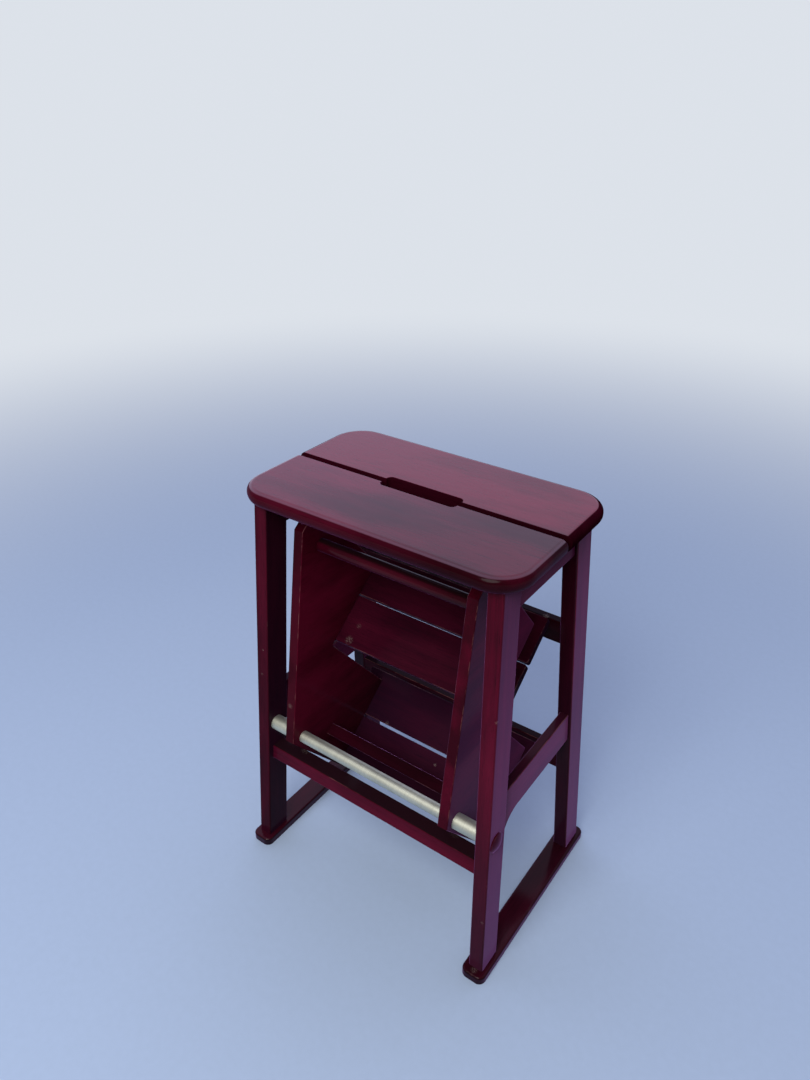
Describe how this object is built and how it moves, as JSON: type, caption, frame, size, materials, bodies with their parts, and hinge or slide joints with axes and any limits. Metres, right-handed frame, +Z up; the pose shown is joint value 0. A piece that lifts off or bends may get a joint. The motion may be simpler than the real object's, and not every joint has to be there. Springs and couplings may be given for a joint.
{
  "type": "ladder stool",
  "caption": "Wooden stool with a splayed frame and a ladder that swings out on a brass-sleeved rod to lead up to the seat.",
  "frame": {"origin": "on the floor, under the middle of the seat", "axes": "+X along the seat to the right, +Y to the back, +Z up; the ladder opens towards -Y"},
  "size_m": [0.4172, 0.306, 0.603],
  "materials": {
    "lacquered_wood": "dark red gloss lacquer with worn arrises",
    "satin_brass": "satin, lightly aged",
    "steel": "zinc plated",
    "dowel_wood": "raw"
  },
  "bodies": {
    "frame": {"seat_front_board": "lacquered_wood", "seat_rear_board": "lacquered_wood", "left_seat_rail": "lacquered_wood", "right_seat_rail": "lacquered_wood", "front_left_leg": "lacquered_wood", "front_right_leg": "lacquered_wood", "rear_left_leg": "lacquered_wood", "rear_right_leg": "lacquered_wood", "left_runner": "lacquered_wood", "right_runner": "lacquered_wood", "left_side_rail": "lacquered_wood", "right_side_rail": "lacquered_wood", "front_stretcher": "lacquered_wood", "rear_upper_stretcher": "lacquered_wood", "rear_lower_stretcher": "lacquered_wood", "left_pivot_cap": "lacquered_wood", "right_pivot_cap": "lacquered_wood", "left_pivot_sleeve": "satin_brass", "right_pivot_sleeve": "satin_brass", "pivot_rod": "steel", "pivot_nuts": "steel", "seat_screws": "steel", "runner_screws": "steel"},
    "ladder": {"left_stringer": "lacquered_wood", "right_stringer": "lacquered_wood", "first_step_outer_board": "lacquered_wood", "first_step_inner_board": "lacquered_wood", "second_step_outer_board": "lacquered_wood", "second_step_inner_board": "lacquered_wood", "foot_bar": "lacquered_wood", "step_rail": "lacquered_wood", "pivot_tube": "satin_brass", "tread_dowels": "dowel_wood"}
  },
  "joints": [
    {"name": "ladder_hinge", "type": "hinge", "parent": "frame", "child": "ladder", "pos_m": [0, -0.11183, 0.228], "axis": [1, 0, 0], "range_deg": [0, 140.99]}
  ]
}
